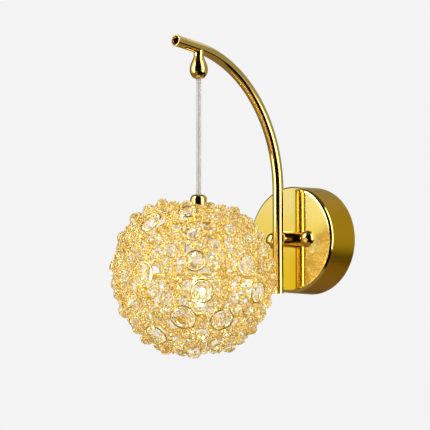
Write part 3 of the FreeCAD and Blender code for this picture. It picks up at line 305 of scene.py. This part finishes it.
def handled_surface():
    """Faint smears of handling and polish: a roughness that wanders, and a very low wave."""
    group, given, out = group_with("handled_surface",
                                   [("Position", "Vector", None), ("Size", "Float", 60.0),
                                    ("Roughness", "Float", 0.1), ("Spread", "Float", 0.05)],
                                   [("Roughness", "Float"), ("Height", "Float")])
    smear = chained(group, "TexNoise", {}, {"Vector": given["Position"], "Scale": given["Size"],
                                            "Detail": 4.0, "Roughness": 0.6})
    grain = chained(group, "TexNoise", {}, {"Vector": given["Position"], "Scale": 900.0,
                                            "Detail": 2.0})
    centred = chained(group, "Math", {"operation": "SUBTRACT"}, {0: smear.outputs[0], 1: 0.5})
    spread = chained(group, "Math", {"operation": "MULTIPLY_ADD"},
                     {0: centred.outputs[0], 1: given["Spread"], 2: given["Roughness"]})
    height = chained(group, "Math", {"operation": "MULTIPLY_ADD"},
                     {0: grain.outputs[0], 1: 0.03, 2: smear.outputs[0]})
    group.links.new(spread.outputs[0], out["Roughness"])
    group.links.new(height.outputs[0], out["Height"])
    return group


def brushed_round():
    """Fine lines that run round the Y axis, as on a spun and brushed cup."""
    group, given, out = group_with("brushed_round",
                                   [("Position", "Vector", None),
                                    ("Lines per metre", "Float", 3000.0)],
                                   [("Height", "Float"), ("Tone", "Float")])
    apart = chained(group, "SeparateXYZ", {}, {0: given["Position"]})
    angle = chained(group, "Math", {"operation": "ARCTAN2"},
                    {0: apart.outputs[2], 1: apart.outputs[0]})
    across = chained(group, "Math", {"operation": "MULTIPLY"},
                     {0: apart.outputs[1], 1: given["Lines per metre"]})
    along = chained(group, "Math", {"operation": "MULTIPLY"}, {0: angle.outputs[0], 1: 2.5})
    unrolled = chained(group, "CombineXYZ", {}, {0: across.outputs[0], 1: along.outputs[0]})
    lines = chained(group, "TexNoise", {}, {"Vector": unrolled.outputs[0], "Scale": 1.0,
                                            "Detail": 3.0, "Roughness": 0.7})
    group.links.new(lines.outputs[0], out["Height"])
    group.links.new(lines.outputs[0], out["Tone"])
    return group


def two_tones():
    """A colour that drifts between two tones of the same finish."""
    group, given, out = group_with("two_tones",
                                   [("Position", "Vector", None), ("Size", "Float", 20.0),
                                    ("Light tone", "Color", (1, 1, 1, 1)),
                                    ("Deep tone", "Color", (0, 0, 0, 1))],
                                   [("Color", "Color")])
    drift = chained(group, "TexNoise", {}, {"Vector": given["Position"], "Scale": given["Size"],
                                            "Detail": 3.0})
    spread = chained(group, "MapRange", {}, {"Value": drift.outputs[0], "From Min": 0.3,
                                             "From Max": 0.7})
    mix = chained(group, "Mix", {"data_type": "RGBA"}, {0: spread.outputs[0]})
    group.links.new(given["Light tone"], mix.inputs[6])
    group.links.new(given["Deep tone"], mix.inputs[7])
    group.links.new(mix.outputs[2], out["Color"])
    return group


EFFECTS = {make.__name__: make() for make in (handled_surface, brushed_round, two_tones)}


class Finish:
    """A material in the making: its node tree, its surface shader and the object's own position."""

    def __init__(self, name, colour, roughness, metallic=0.0):
        self.material = bpy.data.materials.new(name)
        self.material.use_nodes = True
        self.material.diffuse_color = tuple(colour) + (1,)
        self.tree = self.material.node_tree
        self.shader = self.tree.nodes["Principled BSDF"]
        self.shader.inputs["Base Color"].default_value = tuple(colour) + (1,)
        self.shader.inputs["Roughness"].default_value = roughness
        self.shader.inputs["Metallic"].default_value = metallic
        self.position = self.tree.nodes.new("ShaderNodeTexCoord").outputs["Object"]

    def node(self, kind, settings, sources):
        return chained(self.tree, kind, settings, sources)

    def effect(self, name, sources):
        return self.node("Group", {"node_tree": EFFECTS[name]}, sources)

    def feed(self, source, label):
        self.tree.links.new(source, self.shader.inputs[label])

    def bump(self, height, distance, strength):
        bump = self.node("Bump", {}, {"Strength": strength, "Distance": distance, "Height": height})
        self.feed(bump.outputs[0], "Normal")

    def tones(self, light, deep, size):
        """Base colour that drifts between two tones."""
        drift = self.effect("two_tones", {"Position": self.position, "Size": size,
                                          "Light tone": tuple(light) + (1,),
                                          "Deep tone": tuple(deep) + (1,)})
        self.feed(drift.outputs["Color"], "Base Color")

    def handled(self, roughness, spread, size=60.0, wave=0.000004):
        """Smears and grain; `wave` is the height of the grain in metres."""
        marks = self.effect("handled_surface", {"Position": self.position, "Size": size,
                                                "Roughness": roughness, "Spread": spread})
        self.feed(marks.outputs["Roughness"], "Roughness")
        self.bump(marks.outputs["Height"], wave, 0.6)

    def clear_to_lamps(self, tint):
        """Lets light from the lamps through the glass, tinted."""
        path = self.tree.nodes.new("ShaderNodeLightPath")
        clear = self.node("BsdfTransparent", {}, {"Color": tuple(tint) + (1,)})
        mix = self.node("MixShader", {}, {0: path.outputs["Is Shadow Ray"]})
        self.tree.links.new(self.shader.outputs[0], mix.inputs[1])
        self.tree.links.new(clear.outputs[0], mix.inputs[2])
        out = self.tree.nodes["Material Output"]
        self.tree.links.new(mix.outputs[0], out.inputs["Surface"])


# ---------------------------------------------------------------- finishes
def polished_gilt():
    finish = Finish("polished_gilt", (0.86, 0.62, 0.20), 0.07, 1.0)
    finish.tones((0.90, 0.66, 0.22), (0.86, 0.59, 0.16), 25.0)
    finish.handled(0.12, 0.04, wave=0.0000012)
    return finish.material


def canopy_gilt():
    """Mirror-polished face, and a satin side with fine lines round it. The side's darker, deeper
    gold is painted shade.
    """
    finish = Finish("canopy_gilt", (0.90, 0.71, 0.24), 0.1, 1.0)
    shape = finish.tree.nodes.new("ShaderNodeNewGeometry")
    facing = finish.node("SeparateXYZ", {}, {0: shape.outputs["Normal"]})
    outward = finish.node("Math", {"operation": "MULTIPLY"}, {0: facing.outputs[1], 1: -1.0})
    face = finish.node("MapRange", {}, {"Value": outward.outputs[0], "From Min": 0.12,
                                        "From Max": 0.4})
    lines = finish.effect("brushed_round", {"Position": finish.position, "Lines per metre": 3500.0})
    marks = finish.effect("handled_surface", {"Position": finish.position, "Size": 30.0,
                                              "Roughness": 0.10, "Spread": 0.05})
    side_rough = finish.node("MapRange", {}, {"Value": lines.outputs["Tone"], "To Min": 0.26,
                                              "To Max": 0.42})
    rough = finish.node("Mix", {}, {0: face.outputs[0], 2: side_rough.outputs[0],
                                    3: marks.outputs["Roughness"]})
    finish.feed(rough.outputs[0], "Roughness")
    # Painted shade: the side gets a darker, deeper gold than the face, standing for the shade that
    # falls on it.
    colour = finish.node("Mix", {"data_type": "RGBA"},
                         {0: face.outputs[0], 6: (0.70, 0.40, 0.008, 1), 7: (0.90, 0.73, 0.25, 1)})
    finish.feed(colour.outputs[2], "Base Color")
    height = finish.node("Mix", {}, {0: face.outputs[0], 2: lines.outputs["Height"], 3: 0.5})
    finish.bump(height.outputs[0], 0.000008, 0.5)
    return finish.material


def frame_gilt():
    finish = Finish("frame_gilt", (0.88, 0.65, 0.14), 0.16, 1.0)
    finish.tones((0.96, 0.76, 0.20), (0.80, 0.54, 0.08), 90.0)
    finish.handled(0.16, 0.10, 120.0)
    return finish.material


def zinc_steel():
    finish = Finish("zinc_steel", (0.62, 0.62, 0.63), 0.34, 1.0)
    finish.tones((0.66, 0.66, 0.68), (0.52, 0.53, 0.52), 110.0)
    finish.handled(0.34, 0.16, 160.0, 0.00001)
    return finish.material


def contact_brass():
    finish = Finish("contact_brass", (0.72, 0.52, 0.24), 0.3, 1.0)
    finish.tones((0.76, 0.57, 0.28), (0.58, 0.39, 0.15), 140.0)
    finish.handled(0.3, 0.16, 200.0, 0.000008)
    return finish.material


def cut_glass(name, light, deep, ior):
    """Clear cut glass whose tint differs a little from piece to piece."""
    finish = Finish(name, light, 0.015)
    finish.tones(light, deep, 75.0)
    finish.shader.inputs["Transmission Weight"].default_value = 1.0
    finish.shader.inputs["IOR"].default_value = ior
    marks = finish.effect("handled_surface", {"Position": finish.position, "Size": 140.0,
                                              "Roughness": 0.02, "Spread": 0.03})
    finish.feed(marks.outputs["Roughness"], "Roughness")
    finish.clear_to_lamps((0.97, 0.92, 0.80))
    return finish.material


def crystal():
    return cut_glass("crystal", (1.0, 0.99, 0.93), (1.0, 0.94, 0.74), 1.60)


def bead():
    return cut_glass("bead", (1.0, 0.98, 0.84), (1.0, 0.94, 0.62), 1.52)


def lamp_glass():
    finish = Finish("lamp_glass", (1.0, 1.0, 1.0), 0.01)
    finish.tones((1.0, 1.0, 1.0), (0.96, 0.97, 0.98), 60.0)
    finish.shader.inputs["Transmission Weight"].default_value = 1.0
    finish.shader.inputs["IOR"].default_value = 1.46
    finish.clear_to_lamps((0.98, 0.98, 0.98))
    return finish.material


def clear_cord():
    """Clear soft sheath, a little cloudy."""
    finish = Finish("clear_cord", (0.54, 0.52, 0.49), 0.04)
    finish.tones((0.57, 0.55, 0.52), (0.51, 0.49, 0.46), 60.0)
    finish.shader.inputs["Transmission Weight"].default_value = 1.0
    finish.shader.inputs["IOR"].default_value = 1.40
    finish.handled(0.04, 0.02, 60.0, 0.0000001)
    finish.clear_to_lamps((0.85, 0.84, 0.82))
    return finish.material


def core_insulation():
    finish = Finish("core_insulation", (0.80, 0.78, 0.75), 0.35)
    finish.tones((0.84, 0.82, 0.79), (0.74, 0.72, 0.69), 60.0)
    finish.handled(0.35, 0.1, 500.0, 0.00001)
    return finish.material


def earth_insulation():
    """Green sheath with a yellow stripe that winds along it."""
    finish = Finish("earth_insulation", (0.10, 0.42, 0.08), 0.4)
    apart = finish.node("SeparateXYZ", {}, {0: finish.position})
    across = finish.node("Math", {"operation": "MULTIPLY"}, {0: apart.outputs[0], 1: 700.0})
    both = finish.node("Math", {"operation": "MULTIPLY_ADD"},
                       {0: apart.outputs[2], 1: 500.0, 2: across.outputs[0]})
    wave = finish.node("Math", {"operation": "SINE"}, {0: both.outputs[0]})
    stripe = finish.node("Math", {"operation": "GREATER_THAN"}, {0: wave.outputs[0], 1: 0.1})
    colour = finish.node("Mix", {"data_type": "RGBA"},
                         {0: stripe.outputs[0], 6: (0.07, 0.36, 0.06, 1), 7: (0.85, 0.72, 0.05, 1)})
    finish.feed(colour.outputs[2], "Base Color")
    finish.handled(0.4, 0.1, 300.0, 0.00001)
    return finish.material


def moulded(name, light, deep, roughness):
    finish = Finish(name, light, roughness)
    finish.tones(light, deep, 80.0)
    finish.handled(roughness, 0.12, 220.0, 0.00002)
    return finish.material


def terminal_plastic():
    return moulded("terminal_plastic", (0.86, 0.85, 0.80), (0.78, 0.77, 0.72), 0.42)


def anchor_plastic():
    return moulded("anchor_plastic", (0.80, 0.79, 0.76), (0.72, 0.71, 0.68), 0.5)


def lamp_plastic():
    return moulded("lamp_plastic", (0.88, 0.88, 0.86), (0.82, 0.82, 0.80), 0.35)


def ceramic_white():
    return moulded("ceramic_white", (0.86, 0.84, 0.79), (0.78, 0.75, 0.69), 0.6)


def led_board():
    return moulded("led_board", (0.88, 0.87, 0.84), (0.80, 0.78, 0.74), 0.45)


def led_light():
    finish = Finish("led_light", (1.0, 0.72, 0.25), 0.4)
    finish.tones((1.0, 0.75, 0.30), (1.0, 0.62, 0.16), 500.0)
    finish.shader.inputs["Emission Color"].default_value = (1.0, 0.80, 0.38, 1)
    finish.shader.inputs["Emission Strength"].default_value = 66.0
    return finish.material


MAKERS = (polished_gilt, canopy_gilt, frame_gilt, zinc_steel, contact_brass, crystal, bead,
          lamp_glass, clear_cord, core_insulation, earth_insulation, terminal_plastic,
          anchor_plastic, lamp_plastic, ceramic_white, led_board, led_light)
FINISHES = {make.__name__: make() for make in MAKERS}


def dress_solids():
    """Gives each solid of the model the finish of its own slot."""
    for part in frame["record"]["subparts"]:
        solid = frame["nodes"][part["node"]]
        solid.data.materials.clear()
        solid.data.materials.append(FINISHES[part["material_slot"]])


# ---------------------------------------------------------------- where the strung pieces are
def separate_solids(node):
    """The points of each separate solid of a node, as a list of arrays."""
    mesh = frame["nodes"][node].data
    points = np.empty(len(mesh.vertices) * 3, np.float32)
    mesh.vertices.foreach_get("co", points)
    points = points.reshape(-1, 3)
    _, same = np.unique(np.round(points * 1e6).astype(np.int64), axis=0, return_inverse=True)
    same = same.ravel()
    edges = np.empty(len(mesh.edges) * 2, np.int32)
    mesh.edges.foreach_get("vertices", edges)
    first, second = same[edges.reshape(-1, 2)].T
    label = np.arange(same.max() + 1)
    while True:
        lower = np.minimum(label[first], label[second])
        before = label.copy()
        np.minimum.at(label, first, lower)
        np.minimum.at(label, second, lower)
        label = label[label]
        if (label == before).all():
            break
    owner = label[same]
    order = np.argsort(owner, kind="stable")
    cuts = np.flatnonzero(np.diff(owner[order])) + 1
    return [points[part].astype(float) for part in np.split(order, cuts)]


def middle_and_reach(points):
    """Middle of a solid, and how far its points reach from there."""
    middle = (points.min(0) + points.max(0)) / 2
    return middle, np.linalg.norm(points - middle, axis=1).max()


def wire_line(points):
    """Middle and direction of a straight wire."""
    middle = points.mean(0)
    _, _, axes = np.linalg.svd(points - middle, full_matrices=False)
    return middle, axes[0]


def turned_to(axis, spin):
    """Rotation that takes Z to `axis`, after a turn of `spin` about Z."""
    turn = Vector(axis).to_track_quat("Z", "Y").to_matrix() @ Matrix.Rotation(spin, 3, "Z")
    return np.array(turn)


# ---------------------------------------------------------------- cut forms
def cut_form(rows):
    """A closed faceted form round Z through rows of corners: (count, radius, height, offset)."""
    bm = bmesh.new()
    for count, radius, height, offset in rows:
        for i in range(count):
            angle = 2 * math.pi * (i + offset) / count
            bm.verts.new((radius * math.cos(angle), radius * math.sin(angle), height))
    bmesh.ops.convex_hull(bm, input=bm.verts)
    bmesh.ops.dissolve_limit(bm, angle_limit=math.radians(1.0), verts=bm.verts, edges=bm.edges)
    bmesh.ops.delete(bm, geom=[vert for vert in bm.verts if not vert.link_faces], context="VERTS")
    bm.verts.index_update()
    bmesh.ops.recalc_face_normals(bm, faces=bm.faces)
    corners = np.array([vert.co for vert in bm.verts])
    faces = [[vert.index for vert in face.verts] for face in bm.faces]
    bm.free()
    return corners, faces


ROSETTE_CUT = [(8, 0.30, 0.325, 0.0), (8, 0.56, 0.285, 0.5), (16, 0.82, 0.185, 0.25),
               (24, 0.99, 0.04, 0.0), (24, 0.99, -0.04, 0.5), (12, 0.66, -0.20, 0.0),
               (6, 0.22, -0.325, 0.0)]
BALL_CUT = [(6, 0.32, 0.94, 0.0), (10, 0.72, 0.68, 0.5), (12, 0.955, 0.26, 0.0),
            (12, 0.955, -0.26, 0.5), (10, 0.72, -0.68, 0.0), (6, 0.32, -0.94, 0.5)]
BEAD_CUT = [(6, 0.48, 0.84, 0.0), (6, 0.97, 0.22, 0.5), (6, 0.97, -0.22, 0.0),
            (6, 0.48, -0.84, 0.5)]


def placed_forms(name, form, places, slot, nodes):
    """One piece with the form at each place: (middle, rotation, size)."""
    corners, faces = form
    points = []
    sides = []
    for middle, turn, size in places:
        start = len(points) * len(corners)
        points.append(corners * size @ turn.T + middle)
        sides += [[corner + start for corner in face] for face in faces]
    return new_piece(name, np.concatenate(points), sides, slot, nodes)


def new_piece(name, points, faces, slot, nodes, smooth=False):
    """A piece that rides on the ball and stands for the named solids, if any."""
    mesh = bpy.data.meshes.new(name)
    mesh.from_pydata([tuple(point) for point in points], [], faces)
    mesh.polygons.foreach_set("use_smooth", [smooth] * len(mesh.polygons))
    mesh.update()
    mesh.materials.append(FINISHES[slot])
    piece = bpy.data.objects.new(name, mesh)
    bpy.context.scene.collection.objects.link(piece)
    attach(piece, "ball")
    if nodes:
        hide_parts(*nodes)
    return piece


def wire_loops(name, loops, wire, slot, around=14, sides=5):
    """Closed loops of thin wire: each is (middle, axis, radius)."""
    along = np.linspace(0, 2 * math.pi, around, endpoint=False)
    across = np.linspace(0, 2 * math.pi, sides, endpoint=False)
    points = []
    faces = []
    for middle, axis, radius in loops:
        turn = turned_to(axis, 0.0)
        outward = np.outer(np.cos(along), turn[:, 0]) + np.outer(np.sin(along), turn[:, 1])
        start = len(points) * around * sides
        ring = (middle + outward[:, None] * (radius + wire * np.cos(across))[None, :, None]
                + turn[:, 2] * (wire * np.sin(across))[None, :, None])
        points.append(ring.reshape(-1, 3))
        for i in range(around):
            for j in range(sides):
                here, there = start + i * sides, start + (i + 1) % around * sides
                faces.append((here + j, there + j, there + (j + 1) % sides, here + (j + 1) % sides))
    return new_piece(name, np.concatenate(points), faces, slot, (), smooth=True)


def outward_from_ball(middle):
    outward = middle - np.array(BALL_MIDDLE)
    return outward / np.linalg.norm(outward)


def tilted(axis, most):
    """The axis, tipped by an uneven amount of up to `most`."""
    tipped = axis + shuffle.uniform(-most, most, 3)
    return tipped / np.linalg.norm(tipped)


def crystals_and_beads():
    """Cut crystals and beads in the places of the plain solids; the round crystals and the beads
    each get two loops of gilt wire.
    """
    rosettes = [middle_and_reach(points) for points in separate_solids("rosette_crystals")]
    rounds = [middle_and_reach(points) for points in separate_solids("large_crystals")]
    small = [middle_and_reach(points) for points in separate_solids("small_beads")]
    strung = [middle_and_reach(points) for points in separate_solids("drilled_beads")]
    wires = [wire_line(points) for points in separate_solids("link_wires")]
    spin = shuffle.uniform(0, 2 * math.pi, 2000)

    placed_forms("cut_rosettes", cut_form(ROSETTE_CUT),
                 [(middle, turned_to(outward_from_ball(middle), spin[i]), reach)
                  for i, (middle, reach) in enumerate(rosettes)], "crystal", ("rosette_crystals",))
    placed_forms("cut_crystals", cut_form(BALL_CUT),
                 [(middle, turned_to(tilted(outward_from_ball(middle), 0.3), spin[100 + i]), reach)
                  for i, (middle, reach) in enumerate(rounds)], "crystal", ("large_crystals",))
    placed_forms("cut_beads", cut_form(BEAD_CUT),
                 [(middle, turned_to(tilted(outward_from_ball(middle), 0.8), spin[300 + i]), reach)
                  for i, (middle, reach) in enumerate(small)], "bead", ("small_beads",))
    middles = np.array([middle for middle, _ in wires])
    axes = np.array([axis for _, axis in wires])
    on_wires = []
    for i, (middle, reach) in enumerate(strung):
        offset = middle - middles
        aside = offset - axes * (offset * axes).sum(1)[:, None]
        nearest = np.argmin(np.linalg.norm(aside, axis=1) + 0.2 * np.linalg.norm(offset, axis=1))
        on_wires.append((middle, turned_to(axes[nearest], spin[900 + i]), reach))
    placed_forms("cut_strung_beads", cut_form(BEAD_CUT), on_wires, "bead", ("drilled_beads",))

    wire_loops("crystal_loops",
               [(middle, tilted(outward_from_ball(middle), lean), reach + CRYSTAL_LOOP_GAP)
                for lean in CRYSTAL_LOOP_LEANS for middle, reach in rounds],
               CRYSTAL_LOOP_WIRE, "frame_gilt", 20)
    wire_loops("bead_loops",
               [(middle, tilted(outward_from_ball(middle), lean), reach + BEAD_LOOP_GAP)
                for lean in BEAD_LOOP_LEANS for middle, reach in small + strung],
               BEAD_LOOP_WIRE, "frame_gilt")


# ---------------------------------------------------------------- cord
def line_piece(name, points, radius, slot, body):
    """A smooth round line through its control points."""
    curve = bpy.data.curves.new(name, "CURVE")
    curve.dimensions = "3D"
    curve.bevel_depth = radius
    curve.bevel_resolution = 8
    curve.use_fill_caps = True
    spline = curve.splines.new("NURBS")
    spline.points.add(len(points) - 1)
    for knot, point in zip(spline.points, points):
        knot.co = (*point, 1)
    spline.order_u = 3
    spline.use_endpoint_u = True
    curve.materials.append(FINISHES[slot])
    piece = bpy.data.objects.new(name, curve)
    bpy.context.scene.collection.objects.link(piece)
    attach(piece, body)
    return piece


def hanging_cord():
    """Clear sheath over two cores, hanging straight from the gland to the cap."""
    length = GLAND_PIVOT - CORD_ANCHOR
    heights = [GLAND_PIVOT - length * share for share in (0.0, 0.25, 0.5, 0.75, 1.0)]
    sheath = line_piece("cord_sheath", [(0, -CORD_OUT, z) for z in heights], CORD_DIAMETER / 2,
                        "clear_cord", "cord")
    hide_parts("pendant_cord")
    for side, name in ((-1, "cord_core_left"), (1, "cord_core_right")):
        turn = VIEW_TURN + CORE_TURN
        x, y = side * CORE_OFFSET * math.cos(turn), side * CORE_OFFSET * math.sin(turn)
        levels = [heights[0] - CORE_SETBACK] + heights[1:-1] + [heights[-1] + CORE_SETBACK]
        route = [(x, y - CORD_OUT, z) for z in levels]
        line_piece(name, route, CORE_RADIUS, "core_insulation", "cord")


# ---------------------------------------------------------------- the whole scene
bpy.context.scene.view_settings.view_transform = "Standard"
for limit in ("max_bounces", "glossy_bounces", "transmission_bounces", "transparent_max_bounces"):
    setattr(bpy.context.scene.cycles, limit, LIGHT_BOUNCES)
photo_camera()
hanging_cord()
studio()
dress_solids()
crystals_and_beads()
